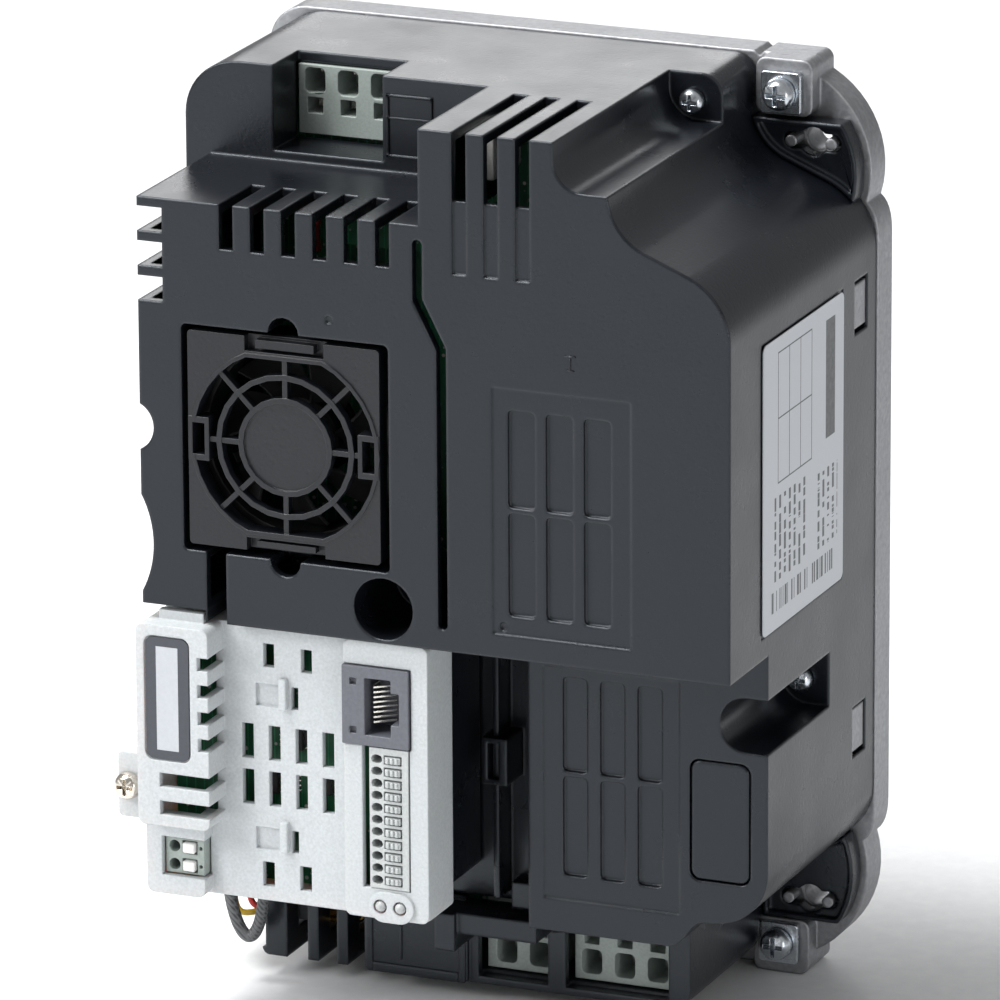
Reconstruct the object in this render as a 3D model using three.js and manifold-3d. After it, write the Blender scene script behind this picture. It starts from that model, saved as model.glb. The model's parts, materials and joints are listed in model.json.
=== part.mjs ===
// A cold-plate variable frequency drive with a pull-out fan and a plug-in control module.
// Millimetres: x to the right, z up, and y is minus the depth. The origin is the centre of the
// cold plate's back face (depth 0), and the front of the drive faces -y.
import * as THREE from "three";
import { mergeVertices } from "three/addons/utils/BufferGeometryUtils.js";
import Module from "manifold-3d";

const wasm = await Module();
wasm.setup();

// ---- driving dimensions ----
const GAP = 0.3; // clearance between neighbouring pieces
const PLATE = { halfWidth: 65.4, halfHeight: 95, depth: 7.6, corner: 8 };
const LOBE = { x: 42.8, z: 72.4, radius: 21.1 }; // mounting lobe, above and below the middle
const BOSS = { x0: 41.1, x1: 52.9, z0: 83.6, z1: 95, depth: 11.9, corner: 2 };
const EARTH = { x: 46.8, z: 88.4, head: 3.3, shank: 1.7, washer: 8.4 };
const EAR = { holeX: 53, pinXs: [48.7, 57.1], z: 78.7, pin: 1.2, hole: 2.6, top: 83, depth: 12.9 };

const WALL = 2.1; // thickness of the plastic housing
const HOUSE = { left: -64.1, right: 65.1, top: 94.6, bottom: -72.1, corner: 11.4, back: 7.9 };
const SHOULDER = 51.8; // depth of the wall behind the control module and round the mains terminals
const FRONT = { depth: 86.6, left: -58.9, top: 75.4, bottom: -9.8, split: 0.6 };
const LOWER = { depth: 66.4, left: 14.6 };
const BULGE = { x: 50.8, z: 57.7, radius: 14.3, end: 67.6 }; // rounded right shoulder
const SCOOP = { x: 51.9, z: 85.7, radius: 12, start: 247.6 }; // hollow beside the upper ear
const POCKET = { z: 85, radius: 6.2, left: 28.6, floor: 26.7 }; // upper cover screw
const FOOT = { x: 53.7, z: -54.7, radius: 11.4 }; // rounded lower right corner
const SINK = { x: 60.6, z: -24.5, radius: 5.6, floor: 33 }; // recess of the lower cover screw
const COVER_SCREWS = { upper: { x: 33.7, z: 88.9, seat: 26.7 }, lower: { x: 59.2, z: -24.8, seat: 33 } };

const FAN = { x: -28.1, z: 27.6, size: 40, back: 70.5, front: 80.5, bore: 19 };
const FAN_OPENING = { x0: -49.9, x1: -5.9, z0: 4.6, z1: 50.7, corner: 1.2 };
const BEZEL = { x0: -48.7, x1: -8, z0: 5.9, z1: 49.4, back: 82.6, face: 86.2, flat: 18.2 };
const NOTCH = { x0: -45.2, x1: -21.7, z0: 77.3, back: 40.3 }; // mains terminal notch
const BASE = { left: -49.7, right: 43, bottom: -90.8, top: -72.4, corner: 4, wall: 2 };
const PCB = { back: 24, front: 25.6 };

const MODULE = { left: -58.9, right: 1, top: -10.4, bottom: -67.4, back: 72.4, wall: 1.6 };
const MAIN_FACE = 82.8; // depth of the module's flat middle
const SIDE_FACE = 84.7; // depth of its socket side
const BLOCK = { right: -43.4, bottom: -52, depth: 90.4 };
const RELAY = { right: -46.3, depth: 86.6 };
const BOARD = { back: 74.5, front: 76.1 };
const LEVER = { count: 11, first: -34.3, pitch: 2.5 };
const RELAY_LEVER_ZS = [-57.6, -61.4];

const DEG = Math.PI / 180;

// ---- finishes ----
const FINISHES = {
  charcoal: { color: 0x2b2d30, roughness: 0.55, metalness: 0 },
  cast: { color: 0xa9acaf, roughness: 0.6, metalness: 0.9 },
  zinc: { color: 0xc4ccd2, roughness: 0.25, metalness: 1 },
  nickel: { color: 0xcfcac0, roughness: 0.2, metalness: 1 },
  pale: { color: 0xdcdfe0, roughness: 0.5, metalness: 0 },
  terminal: { color: 0x9aa39d, roughness: 0.5, metalness: 0 },
  lever: { color: 0xb9bdbb, roughness: 0.45, metalness: 0 },
  socket: { color: 0x7a7c84, roughness: 0.5, metalness: 0 },
  gold: { color: 0xc9a65a, roughness: 0.3, metalness: 1 },
  board: { color: 0x1c6b4a, roughness: 0.45, metalness: 0 },
  paper: { color: 0xd9dde0, roughness: 0.6, metalness: 0 },
  slate: { color: 0x5c5f66, roughness: 0.5, metalness: 0 },
  copper: { color: 0xb5702f, roughness: 0.35, metalness: 1 },
  ferrite: { color: 0x3a3c40, roughness: 0.7, metalness: 0 },
  sleeve: { color: 0x6d6f70, roughness: 0.6, metalness: 0 },
  lens: { color: 0xc8cccc, roughness: 0.2, metalness: 0 },
};

// ---- solids ----
function solid(geometry) {
  const bare = geometry.clone();
  bare.deleteAttribute("normal");
  bare.deleteAttribute("uv");
  const merged = mergeVertices(bare, 1e-4);
  return new wasm.Manifold(
    new wasm.Mesh({
      numProp: 3,
      vertProperties: merged.attributes.position.array,
      triVerts: new Uint32Array(merged.index.array),
    }),
  );
}

// A box between two depths.
function block(x0, x1, d0, d1, z0, z1) {
  const box = new THREE.BoxGeometry(x1 - x0, d1 - d0, z1 - z0);
  box.translate((x0 + x1) / 2, -(d0 + d1) / 2, (z0 + z1) / 2);
  return solid(box);
}

// A shape drawn in x and z, extruded between two depths. The end faces are set to exactly those
// depths, so two slabs that meet share one plane.
function slab(shape, d0, d1, curveSegments = 6) {
  const extruded = new THREE.ExtrudeGeometry(shape, { depth: 1, bevelEnabled: false, curveSegments });
  const points = extruded.attributes.position;
  for (let i = 0; i < points.count; i += 1)
    points.setXYZ(i, points.getX(i), points.getZ(i) > 0.5 ? -d1 : -d0, points.getY(i));
  return solid(extruded);
}

// A round bar that runs front to back.
function rod(x, z, radius, d0, d1, sides = 16) {
  const bar = new THREE.CylinderGeometry(radius, radius, d1 - d0, sides);
  bar.translate(x, -(d0 + d1) / 2, z);
  return solid(bar);
}

const join = (first, ...others) => others.reduce((sum, other) => sum.add(other), first);
const cut = (first, ...others) => others.reduce((rest, other) => rest.subtract(other), first);
const mirrored = (shape) => shape.mirror([0, 0, 1]);

function roundRect(x0, x1, z0, z1, radius) {
  const shape = new THREE.Shape();
  shape.absarc(x1 - radius, z0 + radius, radius, -90 * DEG, 0);
  shape.absarc(x1 - radius, z1 - radius, radius, 0, 90 * DEG);
  shape.absarc(x0 + radius, z1 - radius, radius, 90 * DEG, 180 * DEG);
  shape.absarc(x0 + radius, z0 + radius, radius, 180 * DEG, 270 * DEG);
  return shape;
}

// A slot with round ends from one point to another.
function capsule(x0, z0, x1, z1, radius) {
  const along = Math.atan2(z1 - z0, x1 - x0);
  const shape = new THREE.Shape();
  shape.absarc(x1, z1, radius, along - Math.PI / 2, along + Math.PI / 2);
  shape.absarc(x0, z0, radius, along + Math.PI / 2, along + Math.PI * 1.5);
  return shape;
}

// ---- the assembly ----
const drive = new THREE.Group();

function place(name, body, finish) {
  const made = body.getMesh();
  const geometry = new THREE.BufferGeometry();
  geometry.setAttribute("position", new THREE.BufferAttribute(made.vertProperties, 3));
  geometry.setIndex(new THREE.BufferAttribute(made.triVerts, 1));
  geometry.computeVertexNormals();
  const mesh = new THREE.Mesh(geometry, new THREE.MeshStandardMaterial(FINISHES[finish]));
  mesh.name = name;
  drive.add(mesh);
}

// ---- outlines of the housing, each drawn inset from the outer face ----
function rightShoulder(shape, inset) {
  shape.lineTo(HOUSE.right - inset, BULGE.z);
  shape.absarc(BULGE.x, BULGE.z, BULGE.radius - inset, 0, BULGE.end * DEG);
  const hollow = SCOOP.radius + inset;
  shape.absarc(SCOOP.x, SCOOP.z, hollow, SCOOP.start * DEG, Math.PI, true);
  const top = 4.8 - inset;
  shape.absarc(SCOOP.x - hollow - top, HOUSE.top - inset - top, top, 0, 90 * DEG);
}

// The corner that is cut away in front of the upper cover screw.
function pocketOutline(margin) {
  const round = POCKET.radius + margin;
  const left = POCKET.left - margin;
  const floor = POCKET.z - margin;
  const shape = new THREE.Shape();
  shape.moveTo(50, floor);
  shape.lineTo(50, HOUSE.top + 1);
  shape.lineTo(left, HOUSE.top + 1);
  shape.absarc(left + round, floor + round, round, 180 * DEG, 270 * DEG);
  return shape;
}

function lowerCorner(shape, inset) {
  const z = HOUSE.bottom + inset;
  shape.lineTo(44.3, z);
  shape.bezierCurveTo(47.8, z, 48.3, z + 5.8, 51.9, z + 5.9);
  shape.absarc(FOOT.x, FOOT.z, FOOT.radius - inset, -90 * DEG, 0);
}

function rearOutline(inset) {
  const shape = new THREE.Shape();
  shape.moveTo(HOUSE.left + inset, HOUSE.bottom + inset);
  lowerCorner(shape, inset);
  rightShoulder(shape, inset);
  const x = HOUSE.left + HOUSE.corner;
  const z = HOUSE.top - HOUSE.corner;
  shape.absarc(x, z, HOUSE.corner - inset, 90 * DEG, 180 * DEG);
  return shape;
}

function frontOutline(inset) {
  const shape = new THREE.Shape();
  shape.moveTo(FRONT.left + inset, FRONT.bottom + inset);
  shape.lineTo(HOUSE.right - inset, FRONT.bottom + inset);
  rightShoulder(shape, inset);
  shape.lineTo(FRONT.split + inset, HOUSE.top - inset);
  shape.lineTo(FRONT.split + inset, FRONT.top - inset);
  shape.lineTo(FRONT.left + inset, FRONT.top - inset);
  return shape;
}

function lowerOutline(inset) {
  const shape = new THREE.Shape();
  shape.moveTo(LOWER.left + inset, HOUSE.bottom + inset);
  lowerCorner(shape, inset);
  shape.lineTo(HOUSE.right - inset, 0);
  shape.lineTo(LOWER.left + inset, 0);
  return shape;
}

function sinkOutline(margin) {
  const shape = new THREE.Shape();
  shape.absarc(SINK.x, SINK.z, SINK.radius + margin, 90 * DEG, 270 * DEG);
  shape.lineTo(70, SINK.z - SINK.radius - margin);
  shape.lineTo(70, SINK.z + SINK.radius + margin);
  return shape;
}

// ---- cold plate ----
function lobeEdge(shape, up) {
  const rise = 16.7 * DEG;
  const fall = 61.4 * DEG;
  const from = up > 0 ? -rise : -fall;
  const to = up > 0 ? fall : rise;
  shape.absarc(LOBE.x, up * LOBE.z, LOBE.radius, from, to);
}

function plateOutline() {
  const { halfWidth, halfHeight, corner } = PLATE;
  const side = 59; // half length of the straight right side between the lobes
  const turn = 64.5;
  const shape = new THREE.Shape();
  shape.moveTo(39, -halfHeight);
  shape.lineTo(40.2, -halfHeight + 1);
  shape.lineTo(BOSS.x0, -halfHeight);
  shape.absarc(BOSS.x1 - BOSS.corner, -halfHeight + BOSS.corner, BOSS.corner, -90 * DEG, 0);
  lobeEdge(shape, -1);
  shape.quadraticCurveTo(halfWidth, -turn, halfWidth, -side);
  shape.lineTo(halfWidth, side);
  shape.quadraticCurveTo(halfWidth, turn, 63, 66.3);
  lobeEdge(shape, 1);
  shape.absarc(BOSS.x1 - BOSS.corner, halfHeight - BOSS.corner, BOSS.corner, 0, 90 * DEG);
  shape.lineTo(BOSS.x0, halfHeight);
  shape.lineTo(40.2, halfHeight - 1);
  shape.lineTo(39, halfHeight);
  shape.absarc(corner - halfWidth, halfHeight - corner, corner, 90 * DEG, 180 * DEG);
  shape.absarc(corner - halfWidth, corner - halfHeight, corner, 180 * DEG, 270 * DEG);
  return shape;
}

function coldPlate() {
  const bossShape = roundRect(BOSS.x0, BOSS.x1, BOSS.z0, BOSS.z1, BOSS.corner);
  const boss = slab(bossShape, 0.5, BOSS.depth, 5);
  const pins = EAR.pinXs.map((x) => rod(x, EAR.z, EAR.pin, 5, EAR.depth - 0.4, 12));
  const ear = join(boss, ...pins);
  const holes = join(
    rod(EARTH.x, EARTH.z, EARTH.shank + GAP, 2, 13, 12),
    rod(EAR.holeX, EAR.z, EAR.hole, -1, 9, 20),
  );
  const posts = Object.values(COVER_SCREWS).map(({ x, z, seat }) => rod(x, z, 3, 5, seat - 2.5, 12));
  const threads = Object.values(COVER_SCREWS).map(({ x, z, seat }) => rod(x, z, 1.6, 9, seat, 8));
  const tongues = [43.6, -43.9].map((z) =>
    join(block(59.5, 62.6, 5, 19.5, z, z + 8.9), block(62.3, 64.8, 13.3, 19.5, z, z + 8.9)),
  );
  const body = join(slab(plateOutline(), 0, PLATE.depth), ear, mirrored(ear), ...posts, ...tongues);
  place("cold_plate", cut(body, holes, mirrored(holes), ...threads), "cast");
}

function earPads() {
  const solidPad = (upward, radius, margin, top, d0, d1) => {
    const disc = rod(LOBE.x, upward * LOBE.z, radius, d0, d1, 40);
    const x0 = BASE.right + GAP + margin;
    const left = upward > 0 ? 38 : x0;
    const z0 = upward > 0 ? 50 : -top;
    const z1 = upward > 0 ? top : -50;
    const window = block(left, 70, d0 - 1, d1 + 1, z0, z1);
    return cut(disc.intersect(window), slab(rearOutline(-GAP - margin), d0 - 1, d1 + 1));
  };
  for (const [name, upward] of [["upper_ear_pad", 1], ["lower_ear_pad", -1]]) {
    const pad = solidPad(upward, 19.8, 0, EAR.top, HOUSE.back, EAR.depth);
    const dish = solidPad(upward, 18.8, 1, EAR.top - 1, EAR.depth - 1.4, EAR.depth + 1);
    const z = upward * EAR.z;
    const slot = slab(capsule(EAR.pinXs[0], z, EAR.pinXs[1], z, 1.7), 5, 15, 6);
    place(name, cut(pad, dish, slot, rod(EAR.holeX, z, 2.9, 5, 15)), "charcoal");
  }
}

// ---- housing ----
function housingShell() {
  const stack = (inset, back) =>
    join(
      slab(rearOutline(inset), back, SHOULDER - inset),
      slab(frontOutline(inset), SHOULDER - inset, FRONT.depth - inset),
      slab(lowerOutline(inset), SHOULDER - inset, LOWER.depth - inset),
    );
  const pocket = (margin) => slab(pocketOutline(margin), POCKET.floor - margin, FRONT.depth + 1);
  const outer = cut(stack(0, HOUSE.back), pocket(0));
  const hollow = cut(stack(WALL, HOUSE.back - 1), pocket(WALL));
  return { shell: cut(outer, hollow), outer };
}

// Walls inside the shell that line the openings made in it.
function innerWalls(outer) {
  const { x0, x1, z0, z1 } = FAN_OPENING;
  const fanWell = block(x0 - 1.6, x1 + 1.6, 71, 85, z0 - 1.6, z1 + 1.6);
  const cup = rod(-7.4, -2.8, 7.3, 64, 85.5, 14).intersect(outer);
  const sinkWall = slab(sinkOutline(1.8), SINK.floor - 2, LOWER.depth - 1).intersect(outer);
  const notchWalls = block(
    NOTCH.x0 - 2, NOTCH.x1 + 2, NOTCH.back, SHOULDER - 1, NOTCH.z0 - 2, HOUSE.top - 1,
  );
  const fingerWall = block(-57.5, -53, 70, 85, -7, 36);
  const footWall = block(-58, -43, 50, 86, -8, -5.6);
  const screwPost = rod(-62, -45.2, 2.6, SHOULDER - 1, 83.4);
  const rail = block(3.6, 4.8, SHOULDER - 1, 58, -70, -9);
  const latch = cut(block(2, 7.4, SHOULDER - 1, 60, -45.6, -36), block(3.2, 5.6, 55, 61, -44.6, -37));
  const sill = block(7, 15, SHOULDER - 1, 57, HOUSE.bottom, -66.5);
  return [fanWell, cup, sinkWall, notchWalls, fingerWall, footWall, screwPost, rail, latch, sill];
}

function ventCuts() {
  const cuts = [];
  for (let i = 0; i < 6; i += 1) {
    const x = -40 + 6.6 * i;
    cuts.push(block(x - 1.5, x + 1.5, 70.7, 87, 66.4, 76));
  }
  for (let i = 0; i < 3; i += 1) {
    const x = 9.1 + 6.6 * i;
    cuts.push(block(x - 1.5, x + 1.5, 55.2, 87, 80.9, 95));
    cuts.push(block(x - 1.5, x + 1.5, 86, 87, 66.4, 81));
  }
  for (let i = 0; i < 3; i += 1) {
    const z = 73.5 - 7 * i;
    cuts.push(block(-60, -53.6, 72.4, 87, z - 5, z));
  }
  return cuts;
}

// Three channels with a bar across the middle, in a shallow panel.
function panelCuts(x0, x1, z0, z1, face, firstX, pitch, width, low, high, bar) {
  const cuts = [slab(roundRect(x0, x1, z0, z1, 0.4), face - 0.35, face + 1, 2)];
  for (let i = 0; i < 3; i += 1) {
    const x = firstX + pitch * i;
    for (const [from, to] of [[low, bar - 0.5], [bar + 0.5, high]])
      cuts.push(slab(roundRect(x, x + width, from, to, 0.9), face - 1.3, face + 1, 1));
  }
  return cuts;
}

// A finger recess in the left edge, as an arc of a given half length and depth.
function edgeScallop(z, half, depth) {
  const radius = (half * half + depth * depth) / (2 * depth);
  const spread = Math.asin(half / radius);
  const shape = new THREE.Shape();
  shape.absarc(FRONT.left + depth - radius, z, radius, -spread, spread);
  shape.lineTo(FRONT.left - 2, z + half);
  shape.lineTo(FRONT.left - 2, z - half);
  return shape;
}

function frontCuts() {
  const { x0, x1, z0, z1, corner } = FAN_OPENING;
  const middle = FAN.x;
  return [
    slab(roundRect(x0, x1, z0, z1, corner), 70, 87, 3),
    rod(middle, z1, 3.3, 78, 87),
    rod(middle, z0, 3.3, 78, 87),
    block(-45.1, -40.8, 76, 87, -10, 5),
    block(-60, -45.3, 50, 87, -10, -7.4),
    slab(edgeScallop(28.75, 4.65, 2.9), 70, 87, 8),
    slab(edgeScallop(5, 9.9, 2.5), 70, 87, 8),
    rod(-7.4, -2.8, 6.3, 66, 87, 28),
    slab(capsule(0.3, 71.5, 0.3, 60.5, 1.05), 82, 87, 5),
    slab(capsule(0.3, 60.5, 5.2, 51.1, 1.05), 82, 87, 5),
    slab(capsule(5.2, 51.1, 5.2, -4.5, 1.05), 82, 87, 5),
    rod(17.9, -3.4, 0.9, 85.7, 87, 12),
    rod(-18.4, 54.6, 0.8, 86.2, 87, 12),
  ];
}

function sideCuts() {
  const screws = Object.values(COVER_SCREWS).map(({ x, z, seat }) => rod(x, z, 1.7, seat - 3, seat + 1, 8));
  return [
    block(62, 66, 12.9, 20, 42.6, 53.5),
    block(62, 66, 12.9, 20, -44.9, -34.4),
    block(64.9, 66, 26.4, 70.3, -5.5, 53.8),
    slab(sinkOutline(0), SINK.floor, 67),
    ...screws,
    block(NOTCH.x0, NOTCH.x1, NOTCH.back - 1, 52, NOTCH.z0, HOUSE.top + 1),
    block(-48, 41, 20, SHOULDER - WALL, -75, -69),
    block(-29.8, -12.2, 49, 52, -46.8, -37.2),
    rod(-62, -45.2, 1.6, 64, 84, 12),
    slab(roundRect(48.7, 61.6, -57.6, -32.5, 2.2), 63, 67, 4),
  ];
}

function housing() {
  const { shell, outer } = housingShell();
  const cuts = [
    ...panelCuts(15.7, 44.6, -5, 44.7, FRONT.depth, 18.9, 7.9, 5.7, -1.2, 40.4, 20.2),
    ...panelCuts(17.8, 46.6, -65.3, -17.3, LOWER.depth, 21.8, 7.9, 5.2, -60.3, -19.2, -39.2),
    ...ventCuts(),
    ...frontCuts(),
    ...sideCuts(),
  ];
  place("housing", cut(join(shell, ...innerWalls(outer)), ...cuts), "charcoal");
}

function accessPlug() {
  const face = slab(roundRect(49.05, 61.25, -57.25, -32.85, 1.9), 62.5, LOWER.depth, 4);
  const flange = slab(roundRect(47.5, 62.4, -59, -31.9, 2), 61.4, 63.8, 3);
  place("access_plug", join(face, flange), "charcoal");
}

// The label's outline is drawn in depth and height, and its thickness runs along x.
function ratingLabel() {
  const shape = roundRect(26.7, 70, -5.2, 53.5, 1.5);
  const sheet = new THREE.ExtrudeGeometry(shape, { depth: 0.25, bevelEnabled: false, curveSegments: 4 });
  const turn = new THREE.Matrix4().makeBasis(
    new THREE.Vector3(0, -1, 0),
    new THREE.Vector3(0, 0, 1),
    new THREE.Vector3(-1, 0, 0),
  );
  sheet.applyMatrix4(turn);
  sheet.translate(65.45, 0, 0);
  place("rating_label", solid(sheet), "paper");
}

// ---- base frame below the housing ----
function trough(inset, top) {
  const left = BASE.left + inset;
  const bottom = BASE.bottom + inset;
  const near = inset > 0 ? 0.5 : 1.5;
  const far = BASE.corner - inset;
  const shape = new THREE.Shape();
  shape.moveTo(left, top);
  shape.absarc(left + near, bottom + near, near, 180 * DEG, 270 * DEG);
  shape.absarc(BASE.right - BASE.corner, BASE.bottom + BASE.corner, far, 270 * DEG, 360 * DEG);
  shape.lineTo(BASE.right - inset, top);
  return shape;
}

function baseFrame() {
  const tray = cut(
    slab(trough(0, BASE.top), HOUSE.back, SHOULDER),
    slab(trough(BASE.wall, BASE.top + 5), HOUSE.back - 1, SHOULDER - BASE.wall),
  );
  const ribWall = block(-49, -26, 45.8, SHOULDER, -90, BASE.top);
  const ribFeet = block(-49, -26, 34, SHOULDER - 1, -90, -86);
  const marking = slab(roundRect(-26.7, -4.4, BASE.bottom, BASE.top, 1), SHOULDER - 1, 53, 3);
  const bracket = join(
    block(-7.6, 13.6, SHOULDER - 1, 60.5, -77.6, -73.2),
    block(-7.6, -3.4, SHOULDER - 1, 62, -81, -73.2),
  );
  const ventXs = [[-44.3, -39.7], [-37.4, -33.3], [-31, -26.9]];
  const vents = ventXs.map(([x0, x1]) => block(x0, x1, 30, 57, -92, -74));
  const terminalXs = [[-2.5, 12.6], [16.3, 38.5]];
  const terminals = terminalXs.map(([x0, x1]) => block(x0, x1, 49, 53, -89.3, -70));
  const bossRelief = block(BOSS.x0 - GAP, BOSS.x1, HOUSE.back - 1, 14, -BOSS.z1, -BOSS.z0 + GAP);
  const frame = cut(join(tray, ribWall, ribFeet, marking), ...vents, ...terminals, bossRelief);
  place("base_frame", join(frame, bracket), "charcoal");
}

// ---- power terminals ----
function terminalBlock(name, x0, x1, d0, d1, z0, z1, poleXs, mouth, clamp) {
  let body = block(x0, x1, d0, d1, z0, z1);
  for (const x of poleXs) {
    const entry = slab(roundRect(x - 2.15, x + 2.15, mouth[0], mouth[1], 1.1), d1 - 9, d1 + 1, 3);
    const slot = block(x - 1.6, x + 1.6, d1 - 7, d1 + 1, clamp[0], clamp[1]);
    body = cut(body, entry, slot);
  }
  place(name, body, "terminal");
}

function powerTerminals() {
  const upperPoles = [-41.3, -34.2, -27.1];
  terminalBlock("mains_terminal_block", -44.9, -22, 26, 40, 78.1, 92.2, upperPoles, [86.4, 91.5], [82.3, 85.5]);
  const depth = 47.6;
  const mouth = [-87.2, -82.1];
  const clamp = [-80.9, -77.8];
  terminalBlock("brake_terminal_block", -2.1, 12.2, 26, depth, -88.5, -72.7, [2, 9.1], mouth, clamp);
  terminalBlock("motor_terminal_block", 16.7, 38.1, 26, depth, -88.5, -72.7, [20.3, 27.4, 34.5], mouth, clamp);
}

// ---- power electronics inside ----
function powerBoard() {
  const corners = [
    [-60, -69.2], [-46, -69.2], [-46, -85], [40, -85], [40, -68.6], [50, -61], [52, -61], [52, 60],
    [36.6, 68], [36, 75], [29, 82], [29, 84.5], [-54, 84.5], [-60, 78],
  ];
  const shape = new THREE.Shape(corners.map(([x, z]) => new THREE.Vector2(x, z)));
  place("power_board", slab(shape, PCB.back, PCB.front), "board");
  place("power_module", block(2, 48, PLATE.depth + GAP, 20, -52, 12), "ferrite");
  const spots = [[18, 50], [42, 44], [18, 24], [42, 18]];
  spots.forEach(([x, z], i) => {
    const can = rod(x, z, 10.5, PCB.front + GAP, 70, 24);
    const score = block(x - 7, x + 7, 69.6, 71, z - 0.4, z + 0.4);
    place("bus_capacitor_" + (i + 1), cut(can, score), "slate");
  });
}

function lineChoke() {
  const core = join(
    block(-45, -27.4, 26, 29, -85.2, -73.2),
    block(-45, -42.8, 28, 44.6, -85.2, -73.2),
    block(-38.1, -34.7, 28, 40.6, -85.2, -73.2),
    block(-29.6, -27.4, 28, 44.6, -85.2, -73.2),
  );
  place("choke_core", core, "ferrite");
  const winding = block(-42.5, -29.9, 29 + GAP, 44.4, -84.8, -74.4);
  place("choke_winding", cut(winding, block(-38.4, -34.4, 28, 41, -89, -72)), "copper");
}

// A round lead that leaves the housing below the module, hangs in a short loop and goes back in.
function loopLead() {
  const route = [
    [-55.2, 52.1, -69], [-55.2, 55.6, -69.8], [-55, 57, -73.4], [-54, 57, -79.2], [-52.6, 56.8, -83.6],
    [-50.4, 56.6, -85.6], [-48.5, 56.4, -83], [-47.6, 56.2, -78.6], [-46.9, 56, -73.4],
    [-46.8, 55, -69.8], [-46.8, 52.1, -69],
  ].map(([x, depth, z]) => new THREE.Vector3(x, -depth, z));
  const section = new THREE.Shape();
  section.absarc(0, 0, 1.35, 0, 2 * Math.PI);
  const extrudePath = new THREE.CatmullRomCurve3(route, false, "centripetal");
  const options = { steps: 28, curveSegments: 4, bevelEnabled: false, extrudePath };
  place("choke_lead", solid(new THREE.ExtrudeGeometry(section, options)), "sleeve");
}

// ---- fan cartridge ----
function clippedDisc(radius, flat, d0, d1) {
  const { x, z } = FAN;
  return rod(x, z, radius, d0, d1, 32).intersect(block(x - 30, x + 30, d0 - 1, d1 + 1, z - flat, z + flat));
}

function ring(outer, inner, d0, d1, sides = 24) {
  return cut(rod(FAN.x, FAN.z, outer, d0, d1, sides), rod(FAN.x, FAN.z, inner, d0 - 1, d1 + 1, sides));
}

function fanGrille() {
  const { x0, x1, z0, z1, back, face, flat } = BEZEL;
  const { x, z } = FAN;
  const rim = cut(slab(roundRect(x0, x1, z0, z1, 0.8), back, face, 3), clippedDisc(19.4, flat - 0.6, 80, 90));
  const lip = cut(clippedDisc(20.2, flat + 0.2, back, face + 0.35), clippedDisc(19.4, flat - 0.6, 80, 90));
  const spokes = [];
  for (let i = 0; i < 4; i += 1) {
    const bar = new THREE.BoxGeometry(40, 1.8, 1.05);
    bar.rotateY(i * 45 * DEG);
    bar.translate(x, -(face - 1.1), z);
    spokes.push(solid(bar));
  }
  const reach = clippedDisc(19.9, flat, 80, 90);
  const wheel = cut(join(...spokes).intersect(reach), rod(x, z, 9.2, 80, 90, 28));
  const hub = rod(x, z, 9.3, face - 2, face - 0.5, 28);
  const rings = join(ring(14.7, 13.6, face - 2, face), ring(10, 8.9, face - 2, face));
  const sockets = [[x0 + 0.1, x0 + 4.5], [x1 - 4.5, x1 - 0.1]];
  const frames = sockets.map(([a, b]) => block(a, b, back, face + 0.3, z - 4.4, z + 4.4));
  const holes = sockets.map(([a, b]) => block(a + 0.9, b - 0.9, 80, 90, z - 3.2, z + 3.2));
  const recesses = [
    block(x - 8.4, x + 8.4, face - 2, 90, z1 - 3, z1 + 1),
    block(x - 8.4, x + 8.4, face - 2, 90, z0 - 1, z0 + 2.6),
  ];
  const tabs = [
    block(x - 6.2, x + 6.2, back, face - 0.2, z1 - 2.3, z1 - 0.6),
    block(x - 6.2, x + 6.2, back, face - 0.2, z0 + 0.8, z0 + 2),
  ];
  const frame = join(cut(join(rim, lip), ...recesses), ...tabs, wheel, hub, rings, ...frames);
  place("fan_grille", cut(frame, ...holes), "charcoal");
}

function fanFrame() {
  const { x, z, size, back, front, bore } = FAN;
  const half = size / 2;
  const body = cut(
    slab(roundRect(x - half, x + half, z - half, z + half, 2.5), back, front, 3),
    rod(x, z, bore, back - 1, front + 1, 32),
  );
  const struts = [0, 120, 240].map((turn) => {
    const bar = new THREE.BoxGeometry(bore - 6, 1.5, 2.4);
    bar.translate((bore + 8) / 2 + 0.2, 0, 0);
    bar.rotateY((turn + 35) * DEG);
    bar.translate(x, -(back + 0.75), z);
    return solid(bar);
  });
  const offsets = [-16, 16].flatMap((dx) => [-16, 16].map((dz) => [dx, dz]));
  const screwHoles = offsets.map(([dx, dz]) => rod(x + dx, z + dz, 1.6, back - 1, front + 1, 10));
  place("fan_frame", cut(join(body, ...struts, rod(x, z, 9, back, back + 1.5, 32)), ...screwHoles), "charcoal");
  place("fan_bearing", ring(2.6, 1.3, back + 1.8, back + 6.5, 20), "gold");
  place("fan_stator", ring(6.4, 2.9, back + 1.8, back + 6, 24), "copper");
}

function fanRotor() {
  const { x, z, back, front } = FAN;
  const cup = cut(rod(x, z, 8.5, back + 2, front - 0.2, 32), rod(x, z, 7.2, back + 1, front - 1.6, 32));
  const blades = [];
  for (let i = 0; i < 7; i += 1) {
    const blade = new THREE.BoxGeometry(10, 8.4, 0.9);
    blade.rotateX(-38 * DEG);
    blade.translate(12.9, 0, 0);
    blade.rotateY((i * 360 * DEG) / 7);
    blade.translate(x, -(back + 6), z);
    blades.push(solid(blade));
  }
  place("fan_rotor", join(cup, ...blades), "charcoal");
  place("fan_shaft", rod(x, z, 1, back + 2.2, front - 1.6 - GAP, 12), "nickel");
}

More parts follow.
